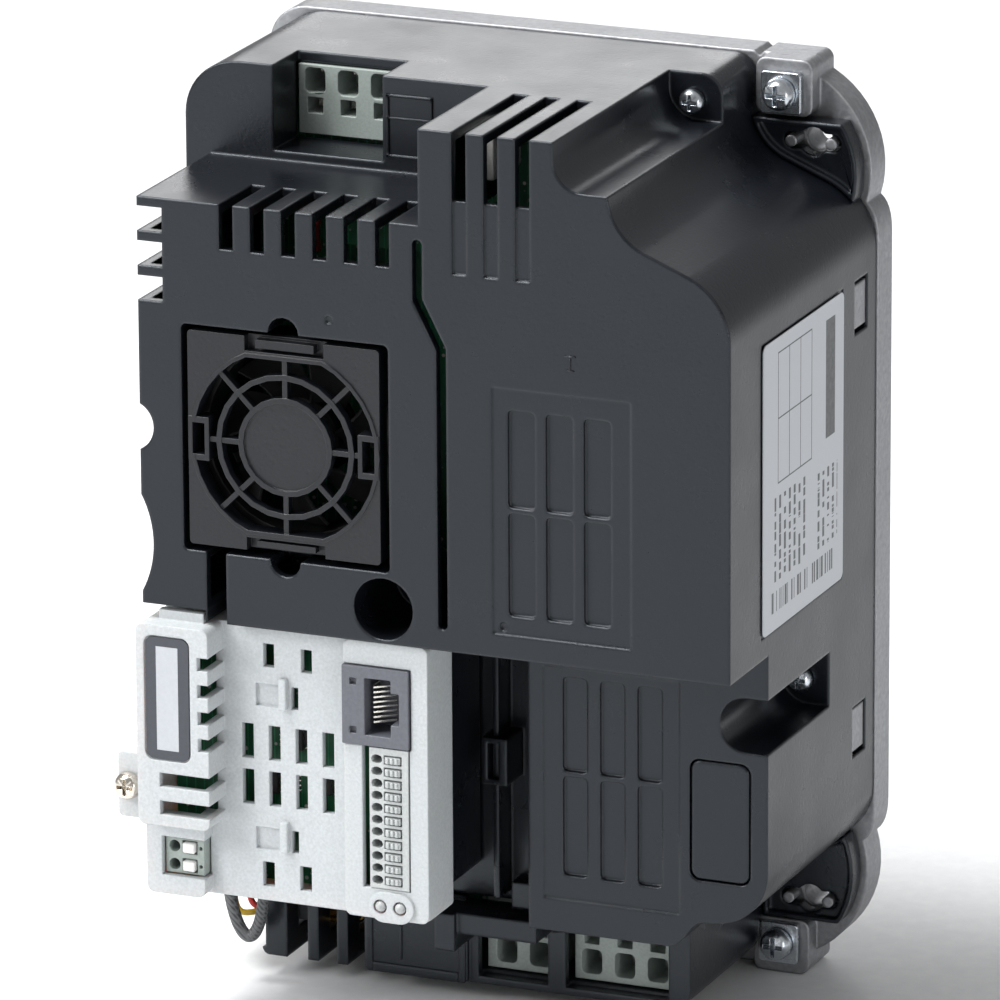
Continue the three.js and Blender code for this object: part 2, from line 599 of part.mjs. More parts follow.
// ---- control module ----
function moduleOutline(inset) {
  const { left, right, top, bottom, back } = MODULE;
  const body = (x0, x1, z0, z1, radius, depth) => {
    if (inset > 0) return block(x0 + inset, x1 - inset, back - 1, depth - inset, z0 + inset, z1 - inset);
    return slab(roundRect(x0, x1, z0, z1, radius), back, depth, 3);
  };
  return join(
    body(-50, right, bottom, top, 1.2, MAIN_FACE),
    body(-16.9, right, bottom, top, 1.5, SIDE_FACE),
    body(left, BLOCK.right, BLOCK.bottom, top, 1.6, BLOCK.depth),
    body(left, RELAY.right, bottom, -48, 1.6, RELAY.depth),
  );
}

function moduleWindows() {
  const through = (x0, x1, z0, z1) => block(x0, x1, 79, 92, z0, z1);
  const cuts = [
    through(-34.8, -32.5, -18.9, -14.1),
    through(-26.7, -24.4, -19.2, -14.4),
    through(-28.9, -27.4, -27.1, -22.5),
    through(-29.1, -27.6, -56.8, -52.3),
    through(-35.4, -32.9, -64.5, -59.4),
    through(-27.4, -24.9, -64.5, -59.4),
    through(-17.3, -2.5, -31.9, -15.3),
    through(-13, -2.8, -61.2, -31.8),
    block(-36.5, -31.5, MAIN_FACE - 0.7, 92, -27.1, -22.5),
    block(-36.8, -31.8, MAIN_FACE - 0.7, 92, -56.8, -52.3),
  ];
  for (let i = 0; i < 4; i += 1) {
    const x = -39.6 + 5.77 * i;
    cuts.push(through(x, x + 2.5, -38.2, -31), through(x, x + 2.5, -47.7, -40.5));
    const z = -16.2 - 5.57 * i;
    cuts.push(block(-45.7, -42, MAIN_FACE, 92, z - 2.7, z));
  }
  for (const z of [-40.9, -46.7]) cuts.push(block(-54.1, -42, MAIN_FACE, 92, z - 2.9, z));
  cuts.push(block(-55.6, -45, MAIN_FACE, 92, -63.5, -55.4));
  cuts.push(block(-55.6, -46.7, 79, 92, -63.5, -55.4));
  cuts.push(slab(roundRect(-57.2, -47.3, -38.4, -12.6, 1.9), BLOCK.depth - 0.5, 92, 4));
  for (const x of [-9.2, -5]) cuts.push(rod(x, -64.7, 1.45, 75, 90, 14));
  return cuts;
}

function moduleCover() {
  const tab = cut(
    slab(roundRect(-64.4, -58, -51.9, -38.5, 1), 83.8, 87.6, 3),
    slab(capsule(-62, -45.2, -70, -45.2, 1.7), 80, 90, 5),
  );
  const ridges = [77.5, 81, 84.5].map((d) => block(-55.6, -46, d, d + 1.8, -11, -8.5));
  const pill = slab(capsule(-8.45, -64.75, -5.15, -64.75, 3.15), 80.2, SIDE_FACE + 0.6, 8);
  const shell = cut(moduleOutline(0), moduleOutline(MODULE.wall));
  const trimmed = cut(join(shell, tab, pill, ...ridges), ...moduleWindows());
  place("module_cover", cut(trimmed, block(-57.3, -0.9, 70, 79.9, -65.85, -12)), "pale");
}

function moduleInside() {
  const { back, front } = BOARD;
  const tray = cut(
    slab(roundRect(-56.5, -1.5, -65.5, -12.5, 1.5), SHOULDER + 0.5, MODULE.back - GAP, 3),
    block(-54.9, -3.1, SHOULDER + 2, 73, -63.9, -14.1),
    block(-29.6, -12.4, SHOULDER, 55, -46.6, -37.4),
  );
  place("module_tray", tray, "charcoal");
  place("module_board", slab(roundRect(-56.9, -1.4, -65.4, -12.4, 1), back, front, 3), "board");
  place("module_connector", block(-29, -13, 47.5, back - GAP, -46, -38), "slate");
}

function networkSocket() {
  const body = cut(
    block(-17, -2.8, BOARD.front + GAP, 85.4, -31.7, -15.5),
    block(-12.1, -6.6, 77.8, 86, -29.5, -17.8),
    block(-7, -4.8, 77.8, 86, -26.9, -20.4),
    block(-15.3, -13.9, 84.4, 86, -19.4, -18),
    block(-15.3, -13.9, 84.4, 86, -29.4, -28),
  );
  place("network_socket", body, "socket");
  let comb = block(-11.8, -11.2, 78.1, 83.6, -28.6, -18.7);
  for (let i = 0; i < 8; i += 1) {
    const z = -20.1 - 1.02 * i;
    comb = join(comb, block(-11.5, -7.2, 83, 83.6, z - 0.24, z + 0.24));
  }
  place("network_contacts", comb, "gold");
}

function leverZ(i) {
  return LEVER.first - LEVER.pitch * i;
}

function controlTerminals() {
  const face = 84.9;
  let body = block(-11.4, -3.1, BOARD.front + GAP, face, -61, -32);
  for (let i = 0; i < LEVER.count; i += 1) {
    const z = leverZ(i);
    body = cut(
      body,
      slab(capsule(-10.1, z, -9.5, z, 0.9), 79, 86, 2),
      block(-8.3, -4.5, 80.8, 86, z - 0.95, z + 0.95),
    );
    const number = String(i + 1).padStart(2, "0");
    place("control_lever_" + number, block(-8, -4.8, 82.2, 85.7, z - 0.65, z + 0.65), "lever");
  }
  place("control_terminal_block", body, "lever");
}

function relayTerminals() {
  const face = 85.4;
  let body = block(-55.3, -47, BOARD.front + GAP, face, -63.2, -55.8);
  RELAY_LEVER_ZS.forEach((z, i) => {
    body = cut(
      body,
      rod(-53.4, z, 1.2, 79, 86, 14),
      block(-51.7, -48.5, 80.8, 86, z - 1.35, z + 1.35),
      rod(-47.75, z, 0.4, 82, 86, 8),
    );
    place("relay_lever_" + (i + 1), block(-51.4, -48.8, 82.2, 86.2, z - 1.05, z + 1.05), "lever");
  });
  place("relay_terminal_block", body, "terminal");
}

// Round bodies turned about a front-to-back axis, from points of radius and depth.
function turned(x, z, profile, sides) {
  const points = profile.map(([radius, depth]) => new THREE.Vector2(radius, -depth));
  const lathe = new THREE.LatheGeometry(points, sides);
  lathe.translate(x, 0, z);
  return solid(lathe);
}

function statusLights() {
  [-9.2, -5].forEach((x, i) => {
    const back = BOARD.front + GAP;
    const profile = [[0, 85.9], [0.6, 85.7], [1.05, 85.2], [1.15, 84.6], [1.15, back], [0, back]];
    place("status_light_" + (i + 1), turned(x, -64.7, profile, 14), "lens");
  });
}

// ---- fasteners ----
function crossScrew(x, z, seat, tip, head, shank, height) {
  const dome = seat + height;
  const profile = [
    [0, dome], [head * 0.6, dome - 0.15 * height], [head, dome - 0.6 * height], [head, seat],
    [shank, seat], [shank, tip], [0, tip],
  ];
  const bar = head * 0.55;
  return cut(
    turned(x, z, profile, 12),
    block(x - bar, x + bar, dome - 1.1, dome + 1, z - 0.35, z + 0.35),
    block(x - 0.35, x + 0.35, dome - 1.1, dome + 1, z - bar, z + bar),
  );
}

function fasteners() {
  const { x, z, head, shank, washer } = EARTH;
  const half = washer / 2;
  for (const [name, up] of [["upper", 1], ["lower", -1]]) {
    const seat = BOSS.depth + GAP;
    const square = slab(roundRect(x - half, x + half, up * z - half, up * z + half, 0.8), seat, seat + 1.2, 3);
    place(name + "_earth_washer", cut(square, rod(x, up * z, shank + GAP, 10, 15, 12)), "zinc");
    place(name + "_earth_screw", crossScrew(x, up * z, seat + 1.2 + GAP, 4, head, shank, 3), "zinc");
    const spot = COVER_SCREWS[name];
    const cover = crossScrew(spot.x, spot.z, spot.seat + GAP, spot.seat - 12, 2.6, 1.3, 2.2);
    place(name + "_cover_screw", cover, "zinc");
  }
  place("module_screw", crossScrew(-62, -45.2, 87.6 + GAP, 68, 2.8, 1.3, 2.4), "nickel");
}

coldPlate();
earPads();
housing();
accessPlug();
ratingLabel();
baseFrame();
powerTerminals();
powerBoard();
lineChoke();
loopLead();
fanGrille();
fanFrame();
fanRotor();
moduleCover();
moduleInside();
networkSocket();
controlTerminals();
relayTerminals();
statusLights();
fasteners();

export default drive;
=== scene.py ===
"""Finished pieces, materials, light and camera for a cold-plate variable frequency drive."""

import json
import math

import bmesh
import bpy
from bpy.props import FloatProperty, FloatVectorProperty, PointerProperty
from mathutils import Matrix, Vector


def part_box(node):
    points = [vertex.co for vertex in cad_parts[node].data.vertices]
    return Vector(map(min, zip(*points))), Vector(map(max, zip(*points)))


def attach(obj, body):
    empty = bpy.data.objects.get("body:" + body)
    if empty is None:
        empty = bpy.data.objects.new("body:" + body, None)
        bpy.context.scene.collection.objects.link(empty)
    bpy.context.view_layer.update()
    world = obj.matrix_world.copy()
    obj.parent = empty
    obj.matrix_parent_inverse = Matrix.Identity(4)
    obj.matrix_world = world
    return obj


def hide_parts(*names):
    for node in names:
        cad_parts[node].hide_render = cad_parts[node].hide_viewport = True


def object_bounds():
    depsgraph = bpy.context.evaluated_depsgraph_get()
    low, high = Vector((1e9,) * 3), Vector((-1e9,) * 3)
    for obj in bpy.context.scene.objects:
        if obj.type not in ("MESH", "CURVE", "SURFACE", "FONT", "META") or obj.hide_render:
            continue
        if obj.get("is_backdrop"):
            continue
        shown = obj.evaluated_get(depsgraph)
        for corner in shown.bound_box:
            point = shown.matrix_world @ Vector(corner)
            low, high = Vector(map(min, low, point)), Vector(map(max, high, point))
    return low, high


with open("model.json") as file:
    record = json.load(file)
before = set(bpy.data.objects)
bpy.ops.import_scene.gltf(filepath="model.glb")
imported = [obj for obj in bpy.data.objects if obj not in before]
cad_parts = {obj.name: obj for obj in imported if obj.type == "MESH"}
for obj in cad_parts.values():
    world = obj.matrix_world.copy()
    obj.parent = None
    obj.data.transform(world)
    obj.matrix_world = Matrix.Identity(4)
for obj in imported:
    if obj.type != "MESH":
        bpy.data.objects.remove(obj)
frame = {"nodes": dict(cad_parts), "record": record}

bl_info = {
    "name": "Variable Frequency Drive",
    "version": (1, 0, 0),
    "blender": (4, 5, 0),
    "location": "View3D > Sidebar > Drive",
    "description": "Builds the finished pieces of a cold-plate motor drive round its CAD frame",
    "category": "Object",
}

MM = 0.001
MERGE = 0.002 * MM  # corners closer than this are one corner
FAN_X, FAN_Z = -28.1, 27.6  # the fan's axis, in millimetres
FAN_BLADES = 7

# Rating label, in millimetres of depth and height.
TEXT_PITCH = 2.6
CODE_PITCH = 0.35
RULE = 0.3
TABLE_DEPTHS = (44.0, 50.0, 56.0, 62.0)
TABLE_HEIGHTS = (24.0, 37.0, 50.2)

# Line choke: number of turns, and in millimetres the depth of the first one and their pitch.
COIL_TURNS = 11
COIL_START = 30.0
COIL_PITCH = 1.36

# Network socket: number of contacts, and in millimetres the first one's height and their pitch.
CONTACTS = 8
CONTACT_TOP = -20.1
CONTACT_PITCH = 1.02

# Control board, in millimetres: each chip's left, right, bottom and top, and each pad's middle.
CHIPS = (
    (-39, -34.5, -47, -41), (-33, -30.6, -46.4, -41.4), (-27.4, -23, -46, -42),
    (-33.6, -29, -37.4, -32.4), (-28.6, -25.5, -36, -33), (-25.6, -23, -18.6, -15),
    (-35.2, -33, -63, -60), (-27.2, -25, -63.4, -60.5),
)
PADS = ((-38.4, -33), (-20.5, -33.5), (-21, -42), (-34, -16), (-28.2, -24.5), (-28.4, -55))
BOARD_FACE = 76.15  # depth of the back of the pins and pads on the control board
PIN_PITCH = 0.9

# Lamps: name, place in metres, width in metres and power in watts.
LAMPS = (
    ("key", (-0.9, -1.05, 0.75), 0.6, 14.0),
    ("fill", (1.25, -0.75, 0.1), 0.4, 3.0),
    ("back", (-0.45, 1.25, 0.6), 0.6, 3.0),
    ("top", (-0.45, -0.3, 1.2), 0.5, 22.0),
)
AIM = Vector((0.0, -0.04, 0.01))
SKY_STRENGTH = 0.36

# Camera: place in metres, directions to its right and up, and its lens in millimetres.
CAMERA_PLACE = Vector((0.73391, -1.78812, 0.58404))
CAMERA_RIGHT = Vector((0.92222, 0.38663, -0.00517))
CAMERA_UP = Vector((-0.10744, 0.26907, 0.95711))
LENS = 360.05
SENSOR = 36.0
SHIFT_X, SHIFT_Y = -0.00007, -0.01498

HOLDS = frame["record"]["behaviour"]["bodies"]
BODY_OF = {node: body for body, nodes in HOLDS.items() for node in nodes}


def colour(name, text, default):
    return FloatVectorProperty(
        name=name, description=text, default=default, size=3, subtype="COLOR", min=0, max=1
    )


def length(name, text, default):
    return FloatProperty(name=name, description=text, default=default, unit="LENGTH", min=0)


class DriveSizes(bpy.types.PropertyGroup):
    """Sizes that a user may change."""

    moulded_edge: length("Moulded edge", "Radius of the housing's edges", 0.9 * MM)
    cover_edge: length("Cover edge", "Radius of the control module's edges", 0.5 * MM)
    cast_edge: length("Cast edge", "Radius of the cold plate's edges", 0.8 * MM)
    wire: length("Wire", "Diameter of the thin wires inside", 1.3 * MM)
    floor: length("Floor", "Width of the floor round the drive", 6.0)


class DriveColours(bpy.types.PropertyGroup):
    """Colours that a user may change."""

    housing: colour("Housing", "Charcoal moulded plastic", (0.0052, 0.0062, 0.009))
    cover: colour("Control module", "Pale grey moulded plastic", (0.47, 0.485, 0.495))
    plate: colour("Cold plate", "Cast aluminium", (0.33, 0.335, 0.35))
    terminal: colour("Terminals", "Grey-green terminal bodies", (0.27, 0.31, 0.29))
    board: colour("Boards", "Solder mask of the circuit boards", (0.008, 0.13, 0.055))
    floor: colour("Floor", "Pale studio floor", (0.86, 0.87, 0.88))


def sizes():
    return bpy.context.scene.drive_sizes


def colours():
    return bpy.context.scene.drive_colours


# ---- materials ----
def add(tree, kind, *links, **values):
    """A shader node, with its inputs set or linked by name or number."""
    made = tree.nodes.new("ShaderNode" + kind)
    for key, value in values.items():
        setattr(made, key, value)
    for socket, value in links:
        if isinstance(value, bpy.types.NodeSocket):
            tree.links.new(value, made.inputs[socket])
        else:
            made.inputs[socket].default_value = value
    return made


def rgba(value):
    return (value[0], value[1], value[2], 1.0)


def shade(value, factor):
    return tuple(min(1.0, part * factor) for part in value)


def blank(name):
    """A new material with its node tree, shader and object coordinates."""
    material = bpy.data.materials.new(name)
    material.use_nodes = True
    tree = material.node_tree
    place = add(tree, "TexCoord").outputs["Object"]
    return material, tree, tree.nodes["Principled BSDF"], place


def feed(tree, shader, **sources):
    """Links sources to the shader's sockets of the same names."""
    for socket, source in sources.items():
        tree.links.new(source, shader.inputs[socket.replace("_", " ")])


def noise(tree, place, scale, detail=3.0, rough=0.55):
    made = add(
        tree, "TexNoise",
        ("Vector", place), ("Scale", scale), ("Detail", detail), ("Roughness", rough),
    )
    return made.outputs["Fac"]


def spread(tree, value, low, high, to_low, to_high):
    made = add(
        tree, "MapRange", (0, value), (1, low), (2, high), (3, to_low), (4, to_high), clamp=True
    )
    return made.outputs[0]


def mix(tree, share, first, second, how="MIX"):
    first = first if isinstance(first, bpy.types.NodeSocket) else rgba(first)
    second = second if isinstance(second, bpy.types.NodeSocket) else rgba(second)
    made = add(
        tree, "Mix", (0, share), (6, first), (7, second), data_type="RGBA", blend_type=how
    )
    return made.outputs[2]


def surface(name, base, rough, grain, depth, metal=0.0, wear_and_highlight=0.25, tint=0.82, patch=60.0,
            rounding=0.25 * MM, pits=0.0, **constants):
    """A moulded, cast or plated finish: patchy tone, fine grain, and lighter edges that are partly
    rubbed wear and partly a painted highlight.
    """
    material, tree, shader, place = blank(name)
    patches = noise(tree, place, patch, 5.0)
    fine = noise(tree, place, grain, 2.5, 0.6)
    tone = mix(tree, spread(tree, patches, 0.3, 0.7, 0, 1), shade(base, tint), base)
    tone = mix(tree, spread(tree, fine, 0.35, 0.72, 0, 0.35), tone, shade(base, 1.5))
    rounded = add(tree, "Bevel", ("Radius", rounding), samples=8).outputs[0]
    flat = add(tree, "NewGeometry").outputs["Normal"]
    turned = add(tree, "VectorMath", (0, rounded), (1, flat), operation="DOT_PRODUCT")
    # Painted highlight: edges where the rounded normal turns away from the flat face are lightened.
    # This stands partly for rubbed wear and partly for edge highlights.
    rubbed_and_highlit = both(
        tree, spread(tree, turned.outputs["Value"], 0.995, 0.8, 0, wear_and_highlight),
        spread(tree, noise(tree, place, 240.0), 0.35, 0.65, 0.3, 1),
    )
    # Colour of the lighter edges: worn tone and painted highlight together.
    worn_and_highlit_edge_colour = shade(base, 1.3) if metal > 0.5 else tuple(part * 1.3 + 0.03 for part in base)
    bump = add(
        tree, "Bump",
        ("Height", fine), ("Distance", depth * MM), ("Strength", 1.0), ("Normal", rounded),
    )
    if pits:
        cells = add(tree, "TexVoronoi", ("Vector", place), ("Scale", grain * 0.35), feature="F1")
        dents = spread(tree, cells.outputs["Distance"], 0.0, 0.35, 0, 1)
        bump = add(
            tree, "Bump", ("Height", dents), ("Distance", pits * MM), ("Normal", bump.outputs[0])
        )
    feed(
        tree, shader, Base_Color=mix(tree, rubbed_and_highlit, tone, worn_and_highlit_edge_colour),
        Roughness=spread(tree, patches, 0.3, 0.7, rough[0], rough[1]), Normal=bump.outputs[0],
    )
    shader.inputs["Metallic"].default_value = metal
    for socket, value in constants.items():
        shader.inputs[socket.replace("_", " ")].default_value = value
    return material


def stripe(tree, value, low, high):
    """1 where the value lies between two limits, and 0 elsewhere."""
    above = add(tree, "Math", (0, value), (1, low), operation="GREATER_THAN").outputs[0]
    below = add(tree, "Math", (0, value), (1, high), operation="LESS_THAN").outputs[0]
    return both(tree, above, below)


def both(tree, first, second):
    return add(tree, "Math", (0, first), (1, second), operation="MULTIPLY").outputs[0]


def either(tree, *values):
    share = values[0]
    for value in values[1:]:
        share = add(tree, "Math", (0, share), (1, value), operation="MAXIMUM").outputs[0]
    return share


def patch_of(tree, depth, height, depths, heights):
    """1 inside a rectangle of the label, and 0 elsewhere."""
    return both(tree, stripe(tree, depth, *depths), stripe(tree, height, *heights))


def stepped(tree, value, pitch):
    return add(tree, "Math", (0, value), (1, pitch), operation="SNAP").outputs[0]


def speckle(tree, along, across, scale, detail):
    """Noise read on a flat sheet."""
    spot = add(tree, "CombineXYZ", (0, along), (1, across)).outputs[0]
    made = add(tree, "TexNoise", ("Vector", spot), ("Scale", scale), ("Detail", detail))
    return made.outputs["Fac"]


def label_film(name):
    """Printed film: a ruled table, broken rows, a dark bar and plain upright stripes."""
    material, tree, shader, place = blank(name)
    apart = add(tree, "SeparateXYZ", ("Vector", place))
    depth = both(tree, apart.outputs["Y"], -1.0 / MM)
    height = both(tree, apart.outputs["Z"], 1.0 / MM)
    grain = noise(tree, place, 900.0)
    rows = add(tree, "Math", (0, depth), (1, TEXT_PITCH), operation="MODULO").outputs[0]
    words = speckle(tree, height, stepped(tree, depth, TEXT_PITCH), 0.9, 1.0)
    broken = both(tree, stripe(tree, rows, 0.7, 1.75), stripe(tree, words, 0.46, 1.0))
    columns = either(
        tree, patch_of(tree, depth, height, (30.0, 42.0), (4.5, 20.0)),
        patch_of(tree, depth, height, (46.0, 64.0), (4.5, 21.5)),
    )
    heavy = patch_of(tree, depth, height, (31.5, 36.5), (26.0, 50.0))
    upright = either(tree, *(stripe(tree, depth, line, line + RULE) for line in TABLE_DEPTHS))
    level = either(tree, *(stripe(tree, height, line, line + RULE) for line in TABLE_HEIGHTS))
    table = either(
        tree, both(tree, upright, stripe(tree, height, TABLE_HEIGHTS[0], TABLE_HEIGHTS[-1] + RULE)),
        both(tree, level, stripe(tree, depth, TABLE_DEPTHS[0], TABLE_DEPTHS[-1] + RULE)),
    )
    bars = speckle(tree, stepped(tree, depth, CODE_PITCH), 0.0, 1.7, 0.0)
    code = both(
        tree, stripe(tree, bars, 0.5, 1.0), patch_of(tree, depth, height, (32.0, 66.0), (-1.6, 2.6))
    )
    ink = either(tree, both(tree, broken, columns), heavy, table, code)
    film = mix(tree, grain, (0.44, 0.465, 0.5), (0.49, 0.51, 0.545))
    bump = add(tree, "Bump", ("Height", grain), ("Distance", 0.01 * MM))
    feed(
        tree, shader, Base_Color=mix(tree, ink, film, (0.06, 0.065, 0.07)),
        Roughness=spread(tree, grain, 0.3, 0.7, 0.34, 0.5), Normal=bump.outputs[0],
    )
    return material


def circuit_board(name):
    """Green solder mask over fine copper tracks, with dots of solder."""
    material, tree, shader, place = blank(name)
    base = colours().board
    tracks = add(
        tree, "TexBrick", ("Vector", place), ("Scale", 260.0), ("Mortar Size", 0.035),
        ("Color1", rgba(shade(base, 0.8))), ("Color2", rgba(base)),
        ("Mortar", rgba(shade(base, 1.9))),
    )
    dots = add(tree, "TexVoronoi", ("Vector", place), ("Scale", 420.0), feature="F1").outputs[0]
    solder = spread(tree, dots, 0.16, 0.2, 1, 0)
    bump = add(tree, "Bump", ("Height", tracks.outputs["Fac"]), ("Distance", 0.03 * MM))
    feed(
        tree, shader, Base_Color=mix(tree, solder, tracks.outputs["Color"], (0.5, 0.5, 0.47)),
        Roughness=spread(tree, solder, 0, 1, 0.42, 0.22), Normal=bump.outputs[0],
    )
    return material


def wound_wire(name):
    """Enamelled copper."""
    return surface(name, (0.55, 0.33, 0.1), (0.22, 0.36), 1400.0, 0.02, metal=1.0, patch=300.0)


def braided_sleeve(name, base):
    """A woven sleeve: two crossing sets of strands."""
    material, tree, shader, place = blank(name)
    strands = []
    for turn in (0.0, math.pi / 2):
        turned = add(tree, "Mapping", ("Vector", place), ("Rotation", (0, 0, turn))).outputs[0]
        strands.append(add(
            tree, "TexWave", ("Vector", turned), ("Scale", 520.0), ("Distortion", 0.6),
            bands_direction="DIAGONAL",
        ).outputs["Fac"])
    weave = either(tree, *strands)
    bump = add(tree, "Bump", ("Height", weave), ("Distance", 0.12 * MM))
    feed(
        tree, shader, Base_Color=mix(tree, weave, shade(base, 0.45), shade(base, 1.3)),
        Roughness=spread(tree, weave, 0, 1, 0.75, 0.5), Normal=bump.outputs[0],
    )
    return material


def name_plate(name):
    """A dark rounded frame round a plain pale inset."""
    material, tree, shader, place = blank(name)
    apart = add(tree, "SeparateXYZ", ("Vector", place))
    inset = both(
        tree, stripe(tree, apart.outputs["X"], -54.6 * MM, -49.9 * MM),
        stripe(tree, apart.outputs["Z"], -36.2 * MM, -14.8 * MM),
    )
    grain = noise(tree, place, 1500.0)
    dark = mix(tree, grain, (0.035, 0.04, 0.05), (0.055, 0.06, 0.072))
    pale = mix(tree, grain, (0.42, 0.44, 0.47), (0.5, 0.52, 0.55))
    bump = add(tree, "Bump", ("Height", inset), ("Distance", 0.06 * MM))
    feed(
        tree, shader, Base_Color=mix(tree, inset, dark, pale),
        Roughness=spread(tree, grain, 0.3, 0.7, 0.3, 0.42), Normal=bump.outputs[0],
    )
    return material


# Each finish's wear value lightens its edges. The lightening is partly rubbed wear and partly a
# painted highlight.
FINISHES = {
    "housing plastic": lambda n: surface(
        n, colours().housing, (0.25, 0.34), 1500.0, 0.03, wear_and_highlight=0.5, pits=0.015,
        rounding=sizes().moulded_edge, Specular_IOR_Level=0.42,
        Specular_Tint=(0.86, 0.93, 1.0, 1.0)),
    "fan plastic": lambda n: surface(
        n, shade(colours().housing, 1.1), (0.32, 0.44), 1500.0, 0.05, wear_and_highlight=0.5, pits=0.03,
        Specular_IOR_Level=0.42),
    "inner plastic": lambda n: surface(
        n, (0.006, 0.006, 0.007), (0.5, 0.62), 900.0, 0.03, Specular_IOR_Level=0.3),
    "cover plastic": lambda n: surface(
        n, colours().cover, (0.34, 0.44), 1700.0, 0.012, wear_and_highlight=0.1, tint=0.97,
        rounding=sizes().cover_edge, Subsurface_Weight=0.05),
    "cast aluminium": lambda n: surface(
        n, colours().plate, (0.46, 0.6), 900.0, 0.07, metal=1.0, tint=0.82, pits=0.09, patch=45.0,
        rounding=sizes().cast_edge),
    "zinc plate": lambda n: surface(
        n, (0.62, 0.66, 0.71), (0.2, 0.32), 1200.0, 0.02, metal=1.0, tint=0.8, patch=220.0),
    "nickel plate": lambda n: surface(
        n, (0.68, 0.63, 0.56), (0.16, 0.26), 1200.0, 0.015, metal=1.0, tint=0.85, patch=220.0),
    "bright contact": lambda n: surface(
        n, (0.72, 0.7, 0.64), (0.16, 0.28), 1500.0, 0.01, metal=1.0, patch=260.0),
    "brass": lambda n: surface(n, (0.66, 0.45, 0.17), (0.22, 0.34), 1300.0, 0.02, metal=1.0),
    "terminal plastic": lambda n: surface(
        n, colours().terminal, (0.38, 0.5), 1600.0, 0.015, wear_and_highlight=0.12, tint=0.92),
    "lever plastic": lambda n: surface(
        n, (0.44, 0.46, 0.46), (0.32, 0.42), 1600.0, 0.01, wear_and_highlight=0.12, tint=0.92),
    "white lever plastic": lambda n: surface(
        n, (0.72, 0.72, 0.7), (0.32, 0.42), 1600.0, 0.01, wear_and_highlight=0.08, tint=0.95),
    "socket plastic": lambda n: surface(
        n, (0.105, 0.11, 0.13), (0.34, 0.46), 1600.0, 0.02, wear_and_highlight=0.2, tint=0.88),
    "capacitor sleeve": lambda n: surface(
        n, (0.05, 0.055, 0.075), (0.25, 0.35), 800.0, 0.01, wear_and_highlight=0.1),
    "potting": lambda n: surface(n, (0.05, 0.052, 0.058), (0.5, 0.65), 700.0, 0.05),
    "red insulation": lambda n: surface(n, (0.42, 0.025, 0.02), (0.3, 0.4), 1500.0, 0.01),
    "yellow insulation": lambda n: surface(n, (0.5, 0.32, 0.03), (0.3, 0.4), 1500.0, 0.01),
    "chip epoxy": lambda n: surface(n, (0.02, 0.02, 0.022), (0.42, 0.55), 1800.0, 0.01),
    "white component": lambda n: surface(n, (0.62, 0.62, 0.6), (0.4, 0.5), 1500.0, 0.01),
    "clear lens": lambda n: surface(
        n, (0.58, 0.6, 0.6), (0.12, 0.2), 1500.0, 0.004, wear_and_highlight=0.05, tint=0.95,
        Transmission_Weight=0.35, IOR=1.49),
    "label film": label_film,
    "name plate": name_plate,
    "circuit board": circuit_board,
    "wound wire": wound_wire,
    "braided sleeve": lambda n: braided_sleeve(n, (0.085, 0.088, 0.092)),
    "studio floor": lambda n: surface(
        n, colours().floor, (0.7, 0.8), 300.0, 0.01, wear_and_highlight=0.0, tint=0.99, patch=2.0),
}


def finish(name):
    return bpy.data.materials.get(name) or FINISHES[name](name)


# ---- mesh helpers ----
def at(x, depth, z):
    """A point given in millimetres to the right, forward and up."""
    return Vector((x * MM, -depth * MM, z * MM))


def keep(name, bm, material, body, nodes=(), sharp=33.0, edge=0.0, segments=2):
    """Turns a bmesh into a finished piece that rides on a body and stands for its nodes."""
    for face in bm.faces:
        face.smooth = True
    for line in bm.edges:
        line.smooth = line.calc_face_angle(0.0) < math.radians(sharp) if edge == 0.0 else True
    mesh = bpy.data.meshes.new(name)
    bm.to_mesh(mesh)
    bm.free()
    mesh.materials.append(finish(material))
    piece = bpy.data.objects.new(name, mesh)
    bpy.context.scene.collection.objects.link(piece)
    if edge > 0.0:
        bevel = piece.modifiers.new("edges", "BEVEL")
        bevel.width = edge
        bevel.segments = segments
        bevel.limit_method = "ANGLE"
        bevel.angle_limit = math.radians(sharp)
        bevel.use_clamp_overlap = False
        bevel.miter_outer = "MITER_ARC"
    weigh = piece.modifiers.new("normals", "WEIGHTED_NORMAL")
    weigh.keep_sharp = True
    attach(piece, body)
    if nodes:
        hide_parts(*nodes)
    return piece


def merged_copy(node, flatten):
    """A copy of a CAD node's mesh with doubles merged and, to flatten, flat areas joined."""
    bm = bmesh.new()
    bm.from_mesh(frame["nodes"][node].data)
    bmesh.ops.remove_doubles(bm, verts=bm.verts, dist=MERGE)
    if flatten:
        bmesh.ops.dissolve_limit(
            bm, angle_limit=math.radians(0.4), use_dissolve_boundaries=False,
            verts=bm.verts, edges=bm.edges,
        )
    return bm


def dress(node, material, edge=0.0, sharp=33.0, segments=2):
    """A CAD node with its own finish and, where an edge radius is given, softened edges."""
    bm = merged_copy(node, edge > 0.0)
    return keep(node + "_finished", bm, material, BODY_OF[node], [node], sharp, edge, segments)


def bar(bm, x0, x1, d0, d1, z0, z1, edge=0.1):
    """A box with softened edges, added to a bmesh."""
    spot = Matrix.Translation(at((x0 + x1) / 2, (d0 + d1) / 2, (z0 + z1) / 2))
    size = Matrix.Diagonal(((x1 - x0) * MM, (d1 - d0) * MM, (z1 - z0) * MM, 1))
    made = bmesh.ops.create_cube(bm, size=1.0, matrix=spot @ size)
    lines = list({line for corner in made["verts"] for line in corner.link_edges})
    if edge:
        bmesh.ops.bevel(
            bm, geom=lines, offset=edge * MM, segments=2, profile=0.5, affect="EDGES", material=-1
        )


